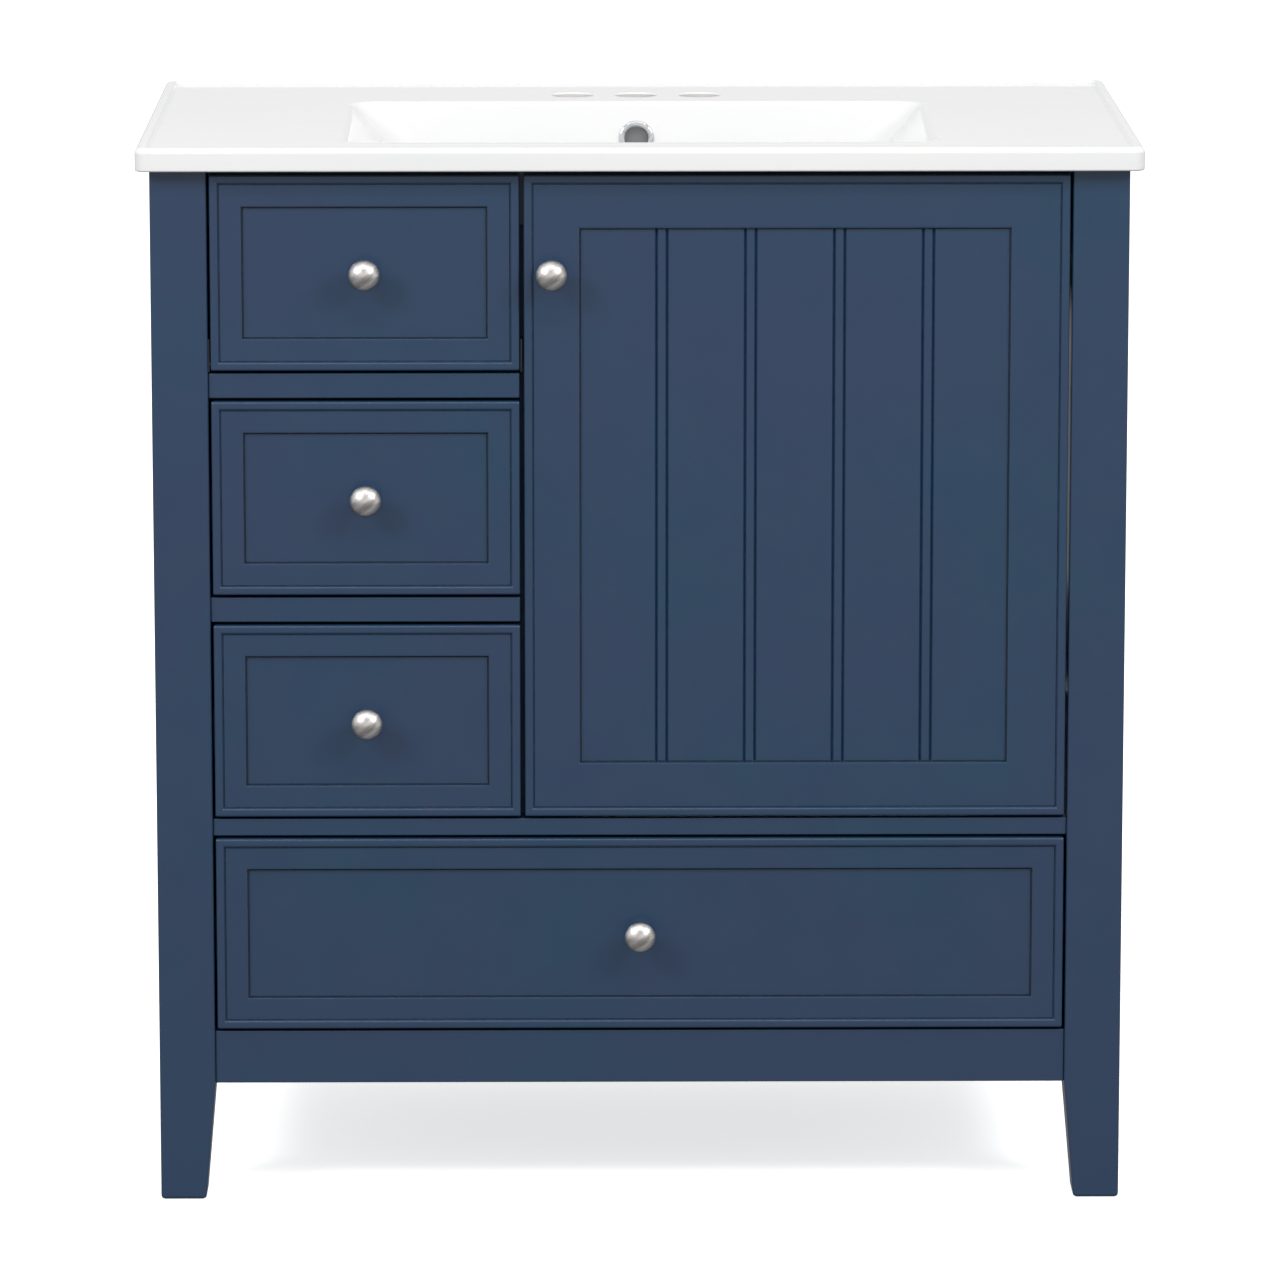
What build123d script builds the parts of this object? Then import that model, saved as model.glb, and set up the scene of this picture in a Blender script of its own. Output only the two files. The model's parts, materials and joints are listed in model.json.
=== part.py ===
from build123d import *
import math
import os

# Bathroom vanity cabinet: a painted wooden cabinet under a one-piece ceramic top and basin.
# Millimetres. X runs across the cabinet, +Y goes back to the wall and +Z is up.
# The origin is on the floor, midway across the cabinet, and midway between the tip of the
# door's knob and the wall.

# ---- overall ----
total_height = 819.0
top_width = 762.0
top_depth = 460.0
top_thickness = 18.0
top_overhang = 12.0  # ahead of the posts' front faces
knob_lead = 24.2  # the tip of the door's knob ahead of the posts' front faces
cabinet_width = 741.0
post_size = 43.0
foot_size = 35.0  # a post tapers to this at the floor
foot_chamfer = 1.5
apron_bottom = 92.0  # underside of the lowest rails, where the feet start to taper
board = 15.0
board_easing = 0.5  # chamfer along the edges of a plain board
side_setback = 8.0  # of a side panel from the outer faces of its posts

# ---- main faces ----
front_y = -(top_depth - top_overhang - knob_lead) / 2  # front faces of the posts
back_y = front_y + top_depth - top_overhang  # back faces of the posts, at the wall
wood_top = total_height - top_thickness
bay = cabinet_width / 2 - post_size  # inner faces of the posts, left and right
side_outer = cabinet_width / 2 - side_setback
side_inner = side_outer - board
post_back = front_y + post_size
rear_post_front = back_y - post_size

# ---- fronts ----
front_thickness = 18.0
bead_width = 6.5
bead_height = 1.8
panel_drop = 2.5  # from a front's flat frame down to its recessed panel
drawer_frame = 24.0  # from a drawer front's edge to its recessed panel
rail_recess = 3.0  # the rails stand back from the posts by this much
field_y = front_y + bead_height
panel_y = field_y + panel_drop
front_back_y = front_y + front_thickness
rail_y = front_y + rail_recess
inside_y = rail_y + front_thickness  # back faces of the rails, front edge of the divider
bead_rounding = 1.3

# ---- heights ----
apron_top = 133.5
wide_front_bottom = 135.5
wide_front_top = 285.0
middle_rail_bottom = 287.0
middle_rail_top = 300.5
small_front_bottom = 302.5
small_front_height = 149.0
small_front_pitch = 172.75
small_front_gap = 2.25
base_panel_bottom = 112.0
flap_bottom = small_front_bottom + 2 * small_front_pitch
door_top = flap_bottom + small_front_height
top_rail_bottom = 756.0

# ---- across the front ----
front_left = -bay + 2.0
small_front_right = -91.4
door_left = -88.0
door_right = bay - 2.0
divider_x = -89.8
divider_left = divider_x - board / 2
divider_right = divider_x + board / 2
top_rail_thickness = 12.0
top_rail_back = inside_y + top_rail_thickness
notch_front = front_y + 36.0  # the divider is cut away from here back to notch_back, under the basin
notch_back = front_y + 352.0
notch_bottom = 648.0

# ---- back ----
back_rail_y = back_y - board
back_rail_bottom = 721.0
back_panel_setback = 8.0
back_panel_y = back_y - back_panel_setback
back_panel_thickness = 6.0
wall_hole_spacing = 406.4
wall_hole_radius = 3.0
pipe_opening_width = 320.0
pipe_opening_height = 240.0
pipe_opening_x = 120.0
pipe_opening_z = 520.0
pipe_opening_corner = 10.0

# ---- door ----
door_panel_left = -46.0
door_panel_right = 281.0
door_panel_bottom = 344.0
door_panel_top = 756.5
door_panel_thickness = 8.0
door_tongue = 4.0  # the panel's edges reach this far into the frame's groove
plank_pitch = 67.3
plank_grooves = 4  # pairs of grooves across the panel
bead_half = 4.0  # half the distance between the two grooves that edge a bead
groove_side = 1.7

# ---- drawer boxes and slides ----
slide_room = 12.7
slide_length = 350.0
slide_height = 35.0
runner_height = 24.0
slide_depth = 10.4
slide_lip = 4.0
slide_setback = 3.0  # behind the rails
runner_depth = 9.3
steel = 1.2
batten_half_height = 20.0
hinge_batten_width = 50.0
box_board = 12.0
box_base = 5.0
box_groove = 5.0
box_depth = 350.0
box_lift = 13.0  # from the bottom of a front to the bottom of its box
base_lift = 8.0  # from the bottom of a box to the underside of its base
small_box_height = 100.0
wide_box_height = 110.0
slide_back = inside_y + slide_setback + slide_length

# ---- tip-out flap ----
pivot_inset = 4.5  # the flap's pins lie this far in from its front face and its bottom edge
pin_radius = 1.5
pin_reach = 7.0
pin_play = 0.05
plate_setback = 2.0  # of the pins' plates behind the posts' front faces
plate_length = 36.0
plate_drop = 1.0
plate_rise = 24.0
plate_gap = 0.8  # from the flap to the plate on its right
tray_left = -300.0
tray_right = -118.0
tray_bottom = 668.0
tray_top = 728.0
tray_depth = 20.0
tray_wall = 2.0
tray_relief = 2.0  # around the screw's head

# ---- ceramic top ----
top_middle_y = front_y - top_overhang + top_depth / 2
basin_width = 453.0
basin_depth = 268.0
basin_middle = front_y - top_overhang + 60.0 + basin_depth / 2
top_corner = 8.0
top_rounding = 4.5
rim_width = 10.0
rim_slope = 50.0  # degrees from upright
deck_corner = 6.0
deck_z = total_height - 2.5
shoulder_drop = 45.0  # the basin's sloping ends grow steep this far below the deck
basin_drop = 126.5
shoulder_width = 377.0
basin_corner = 20.0
shoulder_corner = 26.0
floor_corner = 40.0
floor_width = 333.0
wall_lean = 16.0  # the front and back walls lean in by this much from deck to floor
glaze_wall = 11.0
floor_thickness = 14.0
floor_z = deck_z - basin_drop
faucet_y = front_y - top_overhang + 375.0
faucet_spacing = 101.6
faucet_radius = 17.0
faucet_rounding = 2.0
drain_radius = 22.5
drain_collar = 12.0
dish_radius = 100.0
dish_depth = 4.0
overflow_z = deck_z - 29.0
overflow_radius = 10.5
ring_radius = 14.0
ring_thickness = 2.0
ring_wall = 1.2
sleeve_length = 12.0
duct_width = 26.0
duct_height = 9.0
duct_wall = 8.0
duct_setback = 16.0  # of the duct's rear wall behind the basin's mouth

# ---- knobs and their screws ----
knob_radius = 12.0
knob_length = 26.0
dome_radius = 14.0
dome_reach = 11.6  # the dome turns into the rolled rim here
screw_radius = 2.0
screw_fit = 0.05
screw_clearance = 0.3  # around the screw in a front
screw_reach = 8.0  # into the knob
screw_head_radius = 4.0
screw_head = 2.4
screw_slot_half = 0.5
screw_slot_reach = 2.6
screw_slot_depth = 1.0

# ---- hinges and bumpers ----
cup_radius = 17.5
cup_depth = 11.5
cup_inset = 22.5  # from the door's right edge to the middle of a cup
hinge_inset = 85.0  # from the door's top and bottom edges to the hinges
flange_width = 28.0
flange_height = 56.0
flange_corner = 6.0
arm_height = 12.0
arm_thickness = 3.0
arm_plate_half = 24.0
arm_plate_margin = 2.0
bumper_radius = 2.6
bumper_inset = 30.0
bumper_edge = 2.8  # from the divider's right face to the middle of a bumper
bumper_play = 0.1

os.makedirs("parts", exist_ok=True)


def save(piece, label):
    """Name a finished piece and write it to its own file."""
    piece.part.label = label
    export_step(piece.part, f"parts/{label}.step")


def facing_front(y):
    """The upright plane at y. A sketch on it grows towards the front of the cabinet."""
    return Plane.XZ.offset(-y)


def block(low, high, mode=Mode.ADD):
    """Inside a part, a box given by two opposite corners."""
    size = Vector(*high) - Vector(*low)
    with Locations(Vector(*low) + size * 0.5):
        Box(size.X, size.Y, size.Z, mode=mode)


def rectangle_between(low, high, mode=Mode.ADD):
    """Inside a sketch, a rectangle given by two opposite corners."""
    with Locations(((low[0] + high[0]) / 2, (low[1] + high[1]) / 2)):
        Rectangle(high[0] - low[0], high[1] - low[1], mode=mode)


def save_board(label, low, high):
    """A plain board with eased edges."""
    with BuildPart() as plain_board:
        block(low, high)
        chamfer(plain_board.edges(), length=board_easing)
    save(plain_board, label)


# ======== cabinet ========

# ---- posts: square down to the apron, then the two inner sides taper to the foot ----
for end, outer_y, inward_y in (("front", front_y, 1), ("rear", back_y, -1)):
    for side, outer_x, inward_x in (("left", -cabinet_width / 2, 1), ("right", cabinet_width / 2, -1)):
        with BuildPart() as post:
            for size, z in ((foot_size, 0), (post_size, apron_bottom)):
                with BuildSketch(Plane.XY.offset(z)):
                    with Locations((outer_x + inward_x * size / 2, outer_y + inward_y * size / 2)):
                        Rectangle(size, size)
            loft()
            extrude(post.faces().sort_by(Axis.Z)[-1], amount=wood_top - apron_bottom)
            chamfer(post.faces().sort_by(Axis.Z)[0].edges(), length=foot_chamfer)
        save(post, f"{side}_{end}_post")

# ---- rails between the fronts ----
save_board("front_bottom_rail", (-bay, rail_y, apron_bottom), (bay, inside_y, apron_top))
save_board("middle_rail", (-bay, rail_y, middle_rail_bottom), (bay, inside_y, middle_rail_top))
save_board("front_top_rail", (-bay, inside_y, top_rail_bottom), (bay, top_rail_back, wood_top))
for step, label in enumerate(("lower_drawer_rail", "upper_drawer_rail")):
    low_z = small_front_bottom + step * small_front_pitch + small_front_height + small_front_gap
    high_z = small_front_bottom + (step + 1) * small_front_pitch - small_front_gap
    save_board(label, (-bay, rail_y, low_z), (small_front_right, inside_y, high_z))

# ---- side panels and rear rails ----
save_board(
    "left_side_panel",
    (-side_outer, post_back, apron_bottom),
    (-side_inner, rear_post_front, wood_top),
)
save_board(
    "right_side_panel",
    (side_inner, post_back, apron_bottom),
    (side_outer, rear_post_front, wood_top),
)
save_board("rear_bottom_rail", (-bay, back_rail_y, apron_bottom), (bay, back_y, apron_top))
with BuildPart() as rear_top_rail:
    block((-bay, back_rail_y, back_rail_bottom), (bay, back_y, wood_top))
    chamfer(rear_top_rail.edges(), length=board_easing)
    with Locations(facing_front(back_rail_y)):
        with Locations((0, (back_rail_bottom + wood_top) / 2)):
            with GridLocations(wall_hole_spacing, 1, 2, 1):
                Hole(radius=wall_hole_radius)
save(rear_top_rail, "rear_top_rail")

# ---- back panel, open where the water pipes and the trap come through ----
with BuildPart() as back_panel:
    with BuildSketch(facing_front(back_panel_y + back_panel_thickness)):
        rectangle_between((-bay, apron_top), (bay, back_rail_bottom))
        with Locations((pipe_opening_x, pipe_opening_z)):
            RectangleRounded(
                pipe_opening_width, pipe_opening_height, pipe_opening_corner, mode=Mode.SUBTRACT
            )
    extrude(amount=back_panel_thickness)
save(back_panel, "back_panel")

# ---- floors: boards that fit around the posts ----
for label, low_z, rear_y in (
    ("base_panel", base_panel_bottom, back_rail_y),
    ("compartment_floor", middle_rail_top - board, back_panel_y),
):
    with BuildPart() as floor_board:
        with BuildSketch(Plane.XY.offset(low_z)):
            rectangle_between((-bay, inside_y), (bay, rear_y))
            rectangle_between((-side_inner, post_back), (side_inner, rear_post_front))
        extrude(amount=board)
    save(floor_board, label)

# ---- divider between the drawers and the door, cut away around the basin ----
with BuildPart() as divider:
    block((divider_left, inside_y, middle_rail_top), (divider_right, back_panel_y, wood_top))
    for low_y, high_y, low_z in (
        (notch_front, notch_back, notch_bottom),
        (inside_y, top_rail_back, top_rail_bottom),
        (back_rail_y, back_panel_y, back_rail_bottom),
    ):
        block((divider_left, low_y, low_z), (divider_right, high_y, wood_top), mode=Mode.SUBTRACT)
save(divider, "divider")

# ---- battens that bring the slides and hinges flush with the posts ----
small_bottoms = [small_front_bottom, small_front_bottom + small_front_pitch]
small_slide_heights = [bottom + box_lift + small_box_height / 2 for bottom in small_bottoms]
wide_slide_height = wide_front_bottom + box_lift + wide_box_height / 2
left_gap = (-side_inner, -bay)
right_gap = (bay, side_inner)
with BuildPart() as slide_battens:
    for (low_x, high_x), middle_z in (
        *[(left_gap, height) for height in (wide_slide_height, *small_slide_heights)],
        (right_gap, wide_slide_height),
    ):
        block(
            (low_x, post_back, middle_z - batten_half_height),
            (high_x, rear_post_front, middle_z + batten_half_height),
        )
save(slide_battens, "slide_battens")
save_board(
    "hinge_batten",
    (bay, post_back, middle_rail_top),
    (side_inner, post_back + hinge_batten_width, wood_top),
)

# ======== ceramic top ========


def basin_outline(z, width, depth, corner):
    """The basin's outline at one height."""
    with BuildSketch(Plane.XY.offset(z)) as outline:
        with Locations((0, basin_middle)):
            RectangleRounded(width, depth, corner)
    return outline.sketch


def basin_levels(grow, low_z):
    """Outlines down the basin, each grown outwards all round, from the deck to low_z."""
    shoulder_depth = basin_depth - 2 * wall_lean * shoulder_drop / basin_drop
    floor_depth = basin_depth - 2 * wall_lean
    levels = (
        (deck_z, basin_width, basin_depth, basin_corner),
        (deck_z - shoulder_drop, shoulder_width, shoulder_depth, shoulder_corner),
        (low_z, floor_width, floor_depth, floor_corner),
    )
    return [
        basin_outline(z, width + 2 * grow, depth + 2 * grow, corner + grow)
        for z, width, depth, corner in levels
    ]


# the overflow's plane lies on the leaning back wall of the basin and faces into the basin
wall_at_overflow = basin_middle + basin_depth / 2 - wall_lean * (deck_z - overflow_z) / basin_drop
lean = math.degrees(math.atan(wall_lean / basin_drop))
overflow_plane = Plane(Location((0, wall_at_overflow, overflow_z), (90 - lean, 0, 0)))
basin_back = basin_middle + basin_depth / 2
basin_underside = floor_z - floor_thickness
duct_back = basin_back + duct_setback
duct_low = basin_underside - 3.0
duct_high = overflow_z + overflow_radius + 0.5
housing_half = duct_width / 2 + duct_wall
housing_back = duct_back + duct_wall
housing_low = duct_low - duct_wall
cut_through = 60.0  # longer than anything that a hole passes through
with BuildPart() as ceramic_top:
    with BuildSketch(Plane.XY.offset(wood_top)):
        with Locations((0, top_middle_y)):
            RectangleRounded(top_width, top_depth, top_corner)
    extrude(amount=top_thickness)
    fillet(ceramic_top.faces().sort_by(Axis.Z)[-1].edges(), radius=top_rounding)
    with BuildSketch(Plane.XY.offset(deck_z)):
        with Locations((0, top_middle_y)):
            RectangleRounded(top_width - 2 * rim_width, top_depth - 2 * rim_width, deck_corner)
    extrude(amount=total_height - deck_z + 1, taper=-rim_slope, mode=Mode.SUBTRACT)
    loft(sections=basin_levels(glaze_wall, basin_underside), ruled=True)
    # the housing behind the basin and under its floor that carries the overflow to the drain
    block(
        (-housing_half, basin_middle + 2 * drain_radius, housing_low),
        (housing_half, housing_back, basin_underside + 6),
    )
    block(
        (-housing_half, basin_back - duct_wall, housing_low),
        (housing_half, housing_back, wood_top + 2),
    )
    with Locations((0, basin_middle, basin_underside - 4)):
        Cylinder(radius=drain_radius + drain_collar, height=20)
    loft(sections=basin_levels(0, floor_z), ruled=True, mode=Mode.SUBTRACT)
    # the floor dishes down to the drain
    with Locations((0, basin_middle, floor_z - dish_depth / 2)):
        Cone(
            bottom_radius=drain_radius + 6,
            top_radius=dish_radius,
            height=dish_depth,
            mode=Mode.SUBTRACT,
        )
    with Locations((0, basin_middle, floor_z)):
        Cylinder(radius=drain_radius, height=cut_through, mode=Mode.SUBTRACT)
    # the overflow: a hole in the back wall, a duct down behind it and a duct on to the drain
    with BuildSketch(overflow_plane.offset(3)):
        Circle(overflow_radius)
    extrude(amount=-20, mode=Mode.SUBTRACT)
    block(
        (-duct_width / 2, duct_back - duct_height, duct_low),
        (duct_width / 2, duct_back, duct_high),
        mode=Mode.SUBTRACT,
    )
    block(
        (-duct_width / 2, basin_middle + drain_radius - 4, duct_low),
        (duct_width / 2, duct_back, duct_low + duct_height),
        mode=Mode.SUBTRACT,
    )
    with Locations((0, faucet_y, deck_z)):
        with GridLocations(faucet_spacing / 2, 1, 3, 1):
            Cylinder(radius=faucet_radius, height=cut_through, mode=Mode.SUBTRACT)
    fillet(
        ceramic_top.faces().filter_by(Axis.Z).group_by(Axis.Z)[-2].edges().filter_by(GeomType.CIRCLE)
        .filter_by(lambda edge: abs(edge.radius - faucet_radius) < 0.01),
        radius=faucet_rounding,
    )
save(ceramic_top, "ceramic_top")

# chrome ring: a flange on the basin's wall and a sleeve let into the overflow
sleeve_radius = overflow_radius - 0.2
with BuildPart() as overflow_ring:
    with BuildSketch(overflow_plane):
        Circle(ring_radius)
    extrude(amount=ring_thickness)
    fillet(overflow_ring.edges().sort_by(Axis.Y)[0], radius=0.75 * ring_thickness)
    with BuildSketch(overflow_plane.offset(-sleeve_length)):
        Circle(sleeve_radius)
    extrude(amount=sleeve_length)
    with BuildSketch(overflow_plane.offset(-sleeve_length)):
        Circle(sleeve_radius - ring_wall)
    extrude(amount=sleeve_length + ring_thickness, mode=Mode.SUBTRACT)
save(overflow_ring, "overflow_ring")

# ======== fronts ========


def raised_front(low_x, low_z, high_x, high_z):
    """Inside a part, the slab of a front with a raised, rounded bead around its face."""
    block((low_x, front_y, low_z), (high_x, front_back_y, high_z))
    block(
        (low_x + bead_width, front_y, low_z + bead_width),
        (high_x - bead_width, field_y, high_z - bead_width),
        mode=Mode.SUBTRACT,
    )


def round_bead(front):
    """Round the shoulders of the bead, which is the foremost face of a front."""
    fillet(front.faces().sort_by(Axis.Y)[0].edges(), radius=bead_rounding)


def knob_profile(base_y, x, z):
    """Half the outline of a mushroom knob that stands forward from base_y."""
    dome_edge = math.asin(dome_reach / dome_radius)
    with BuildSketch(Plane((x, base_y, z))) as profile:
        with BuildLine():
            dome = CenterArc((0, dome_radius - knob_length), dome_radius, -90, math.degrees(dome_edge))
            rim = ThreePointArc(dome @ 1, (knob_radius, -18.6), (11.2, -17.5))
            underside = Line(rim @ 1, (7.0, -15.6))
            neck = ThreePointArc(underside @ 1, (4.7, -7.0), (6.5, -1.2))
            Polyline(neck @ 1, (6.5, 0), (0, 0), dome @ 0)
        make_face()
    return profile.sketch


def save_knob(name, base_y, x, z):
    """A knob standing on base_y, and the screw that holds it from behind the front."""
    axis = Axis((x, base_y, z), (0, 1, 0))
    with BuildPart() as knob:
        revolve(knob_profile(base_y, x, z), axis=axis)
        with BuildSketch(facing_front(base_y)):
            with Locations((x, z)):
                Circle(screw_radius + screw_fit)
        extrude(amount=screw_reach + 1, mode=Mode.SUBTRACT)
    save(knob, f"{name}_knob")
    head_back = front_back_y + screw_head
    with BuildPart() as screw:
        with BuildSketch(facing_front(head_back)):
            with Locations((x, z)):
                Circle(screw_head_radius)
        extrude(amount=screw_head)
        fillet(screw.edges().sort_by(Axis.Y)[-1], radius=screw_head / 2)
        with BuildSketch(facing_front(front_back_y)):
            with Locations((x, z)):
                Circle(screw_radius)
        extrude(amount=front_back_y - base_y + screw_reach)
        with Locations((x, head_back - screw_slot_depth / 2, z)):
            Box(2 * screw_slot_half, screw_slot_depth, 2 * screw_slot_reach, mode=Mode.SUBTRACT)
            Box(2 * screw_slot_reach, screw_slot_depth, 2 * screw_slot_half, mode=Mode.SUBTRACT)
    save(screw, f"{name}_knob_screw")


def drill_for_knob(x, z):
    """Inside a part, the knob screw's hole through a front."""
    with Locations(facing_front(front_back_y)):
        with Locations((x, z)):
            Hole(radius=screw_radius + screw_clearance)


def drawer_front(low_x, low_z, high_x, high_z):
    """Inside a part, a drawer front with its recessed panel and its knob hole."""
    raised_front(low_x, low_z, high_x, high_z)
    block(
        (low_x + drawer_frame, front_y, low_z + drawer_frame),
        (high_x - drawer_frame, panel_y, high_z - drawer_frame),
        mode=Mode.SUBTRACT,
    )
    drill_for_knob((low_x + high_x) / 2, (low_z + high_z) / 2)


# ======== drawers on slides ========


def channel_profile(web_x, inward, middle_z, height, depth, lip):
    """A C channel's section: its web stands on web_x and it opens the inward way."""
    with BuildSketch(facing_front(slide_back)) as profile:
        with Locations((web_x + inward * depth / 2, middle_z)):
            Rectangle(depth, height)
        with Locations((web_x + inward * (depth + steel) / 2, middle_z)):
            Rectangle(depth - steel, height - 2 * steel, mode=Mode.SUBTRACT)
        if lip:
            mouth_x = web_x + inward * (depth - steel / 2)
            with Locations(*[(mouth_x, middle_z + up * (height - lip) / 2) for up in (-1, 1)]):
                Rectangle(steel, lip)
    return profile.sketch


def save_slides(label, walls):
    """The channels screwed to the cabinet. Each wall is (x, inward, middle z)."""
    with BuildPart() as slides:
        for wall_x, inward, middle_z in walls:
            extrude(
                channel_profile(wall_x, inward, middle_z, slide_height, slide_depth, slide_lip),
                amount=slide_length,
            )
    save(slides, label)


def save_drawer(name, front_x, front_z, bay_x, box_height):
    """A drawer: front, knob, box and the runners that ride in the cabinet's slides.

    front_x, front_z and bay_x are (low, high) spans of the front and of the bay behind it.
    """
    with BuildPart() as front:
        drawer_front(front_x[0], front_z[0], front_x[1], front_z[1])
        round_bead(front)
    save(front, f"{name}_front")
    save_knob(name, panel_y, sum(front_x) / 2, sum(front_z) / 2)

    box_x = (bay_x[0] + slide_room, bay_x[1] - slide_room)
    low_z = front_z[0] + box_lift
    high_z = low_z + box_height
    box_back = front_back_y + box_depth
    base_z = (low_z + base_lift, low_z + base_lift + box_base)
    for side, outer_x, inward in (("left", box_x[0], 1), ("right", box_x[1], -1)):
        inner_x = outer_x + inward * box_board
        groove_x = inner_x - inward * box_groove
        across = sorted((outer_x, inner_x))
        groove = sorted((groove_x, inner_x))
        with BuildPart() as box_side:
            block((across[0], front_back_y, low_z), (across[1], box_back, high_z))
            block((groove[0], front_back_y, base_z[0]), (groove[1], box_back, base_z[1]), Mode.SUBTRACT)
        save(box_side, f"{name}_{side}_side")
    inner_x = (box_x[0] + box_board, box_x[1] - box_board)
    with BuildPart() as box_end:
        block((inner_x[0], box_back - box_board, base_z[1]), (inner_x[1], box_back, high_z))
    save(box_end, f"{name}_back")
    with BuildPart() as base:
        block(
            (inner_x[0] - box_groove, front_back_y, base_z[0]),
            (inner_x[1] + box_groove, box_back, base_z[1]),
        )
    save(base, f"{name}_base")
    with BuildPart() as runners:
        for side_x, outward in ((box_x[0], -1), (box_x[1], 1)):
            extrude(
                channel_profile(side_x, outward, (low_z + high_z) / 2, runner_height, runner_depth, 0),
                amount=slide_length,
            )
    save(runners, f"{name}_runners")


small_front_x = (front_left, small_front_right)
left_bay = (-bay, divider_left)
for name, low_z in zip(("lower_drawer", "middle_drawer"), small_bottoms):
    save_drawer(name, small_front_x, (low_z, low_z + small_front_height), left_bay, small_box_height)
save_drawer(
    "wide_drawer",
    (front_left, door_right),
    (wide_front_bottom, wide_front_top),
    (-bay, bay),
    wide_box_height,
)
save_slides(
    "small_drawer_slides",
    [wall for z in small_slide_heights for wall in ((-bay, 1, z), (divider_left, -1, z))],
)
save_slides("wide_drawer_slides", [(-bay, 1, wide_slide_height), (bay, -1, wide_slide_height)])

# ======== tip-out flap in front of the basin ========

pivot_y = front_y + pivot_inset
pivot_z = flap_bottom + pivot_inset
flap_middle_x = sum(small_front_x) / 2
flap_middle_z = flap_bottom + small_front_height / 2
with BuildPart() as flap_front:
    drawer_front(front_left, flap_bottom, small_front_right, door_top)
    round_bead(flap_front)
    with Locations((front_left, pivot_y, pivot_z), (small_front_right, pivot_y, pivot_z)):
        Cylinder(
            radius=pin_radius + pin_play,
            height=2 * (pin_reach + 1),
            rotation=(0, 90, 0),
            mode=Mode.SUBTRACT,
        )
save(flap_front, "flap_front")
save_knob("flap", panel_y, flap_middle_x, flap_middle_z)

# a shallow open-topped tray behind the flap, which lets the knob screw's head through
relief_half = screw_head_radius + tray_relief
with BuildPart() as flap_tray:
    block((tray_left, front_back_y, tray_bottom), (tray_right, front_back_y + tray_depth, tray_top))
    block(
        (tray_left + tray_wall, front_back_y + tray_wall, tray_bottom + tray_wall),
        (tray_right - tray_wall, front_back_y + tray_depth - tray_wall, tray_top),
        mode=Mode.SUBTRACT,
    )
    with BuildSketch(facing_front(front_back_y + tray_wall)):
        with Locations((flap_middle_x, flap_middle_z)):
            Circle(relief_half)
        rectangle_between(
            (flap_middle_x - relief_half, flap_middle_z), (flap_middle_x + relief_half, tray_top)
        )
    extrude(amount=tray_wall, mode=Mode.SUBTRACT)
save(flap_tray, "flap_tray")

# plates in the gaps beside the flap, each with a pin that the flap turns on
left_plate_x = -bay
right_plate_x = small_front_right + plate_gap
plate_front = front_y + plate_setback
plate_low = flap_bottom - plate_drop
plate_high = flap_bottom + plate_rise
with BuildPart() as flap_pivots:
    block(
        (left_plate_x, plate_front, plate_low),
        (left_plate_x + steel, plate_front + plate_length, plate_high),
    )
    block((right_plate_x, plate_front, plate_low), (right_plate_x + steel, inside_y, plate_high))
    block((divider_left, inside_y - steel, plate_low), (right_plate_x + steel, inside_y, plate_high))
    for low_x, high_x in (
        (left_plate_x, front_left + pin_reach),
        (small_front_right - pin_reach, right_plate_x + steel),
    ):
        with Locations(((low_x + high_x) / 2, pivot_y, pivot_z)):
            Cylinder(radius=pin_radius, height=high_x - low_x, rotation=(0, 90, 0))
save(flap_pivots, "flap_pivots")

# ======== door ========

door_middle_z = (small_front_bottom + door_top) / 2
hinge_heights = (small_front_bottom + hinge_inset, door_top - hinge_inset)
cups = [(door_right - cup_inset, z) for z in hinge_heights]
door_knob_x = (door_left + door_panel_left) / 2
with BuildPart() as door_frame:
    raised_front(door_left, small_front_bottom, door_right, door_top)
    round_bead(door_frame)
    block(
        (door_panel_left, front_y, door_panel_bottom),
        (door_panel_right, front_back_y, door_panel_top),
        mode=Mode.SUBTRACT,
    )
    block(
        (door_panel_left - door_tongue, panel_y, door_panel_bottom - door_tongue),
        (door_panel_right + door_tongue, panel_y + door_panel_thickness, door_panel_top + door_tongue),
        mode=Mode.SUBTRACT,
    )
    with BuildSketch(facing_front(front_back_y)):
        with Locations(*cups):
            Circle(cup_radius)
    extrude(amount=cup_depth, mode=Mode.SUBTRACT)
    drill_for_knob(door_knob_x, flap_middle_z)
save(door_frame, "door_frame")
save_knob("door", field_y, door_knob_x, flap_middle_z)

# planked panel: each bead between two planks lies between two V grooves
panel_middle_x = (door_panel_left + door_panel_right) / 2
panel_cut = door_top - small_front_bottom  # longer than the panel
with BuildPart() as door_panel:
    block(
        (door_panel_left - door_tongue, panel_y, door_panel_bottom - door_tongue),
        (door_panel_right + door_tongue, panel_y + door_panel_thickness, door_panel_top + door_tongue),
    )
    with Locations((panel_middle_x, panel_y, door_middle_z)):
        with GridLocations(plank_pitch, 1, plank_grooves, 1):
            with GridLocations(2 * bead_half, 1, 2, 1):
                Box(groove_side, groove_side, panel_cut, rotation=(0, 0, 45), mode=Mode.SUBTRACT)
save(door_panel, "door_panel")

# concealed hinges: a steel cup let into the back of the door at each height
with BuildPart() as hinge_cups:
    with BuildSketch(facing_front(front_back_y)):
        with Locations(*cups):
            Circle(cup_radius)
    extrude(amount=cup_depth)
    with BuildSketch(facing_front(front_back_y + steel)):
        with Locations(*cups):
            RectangleRounded(flange_width, flange_height, flange_corner)
    extrude(amount=steel)
    with BuildSketch(facing_front(front_back_y + steel)):
        with Locations(*cups):
            Circle(cup_radius - steel)
    extrude(amount=cup_depth, mode=Mode.SUBTRACT)
save(hinge_cups, "hinge_cups")

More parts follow.
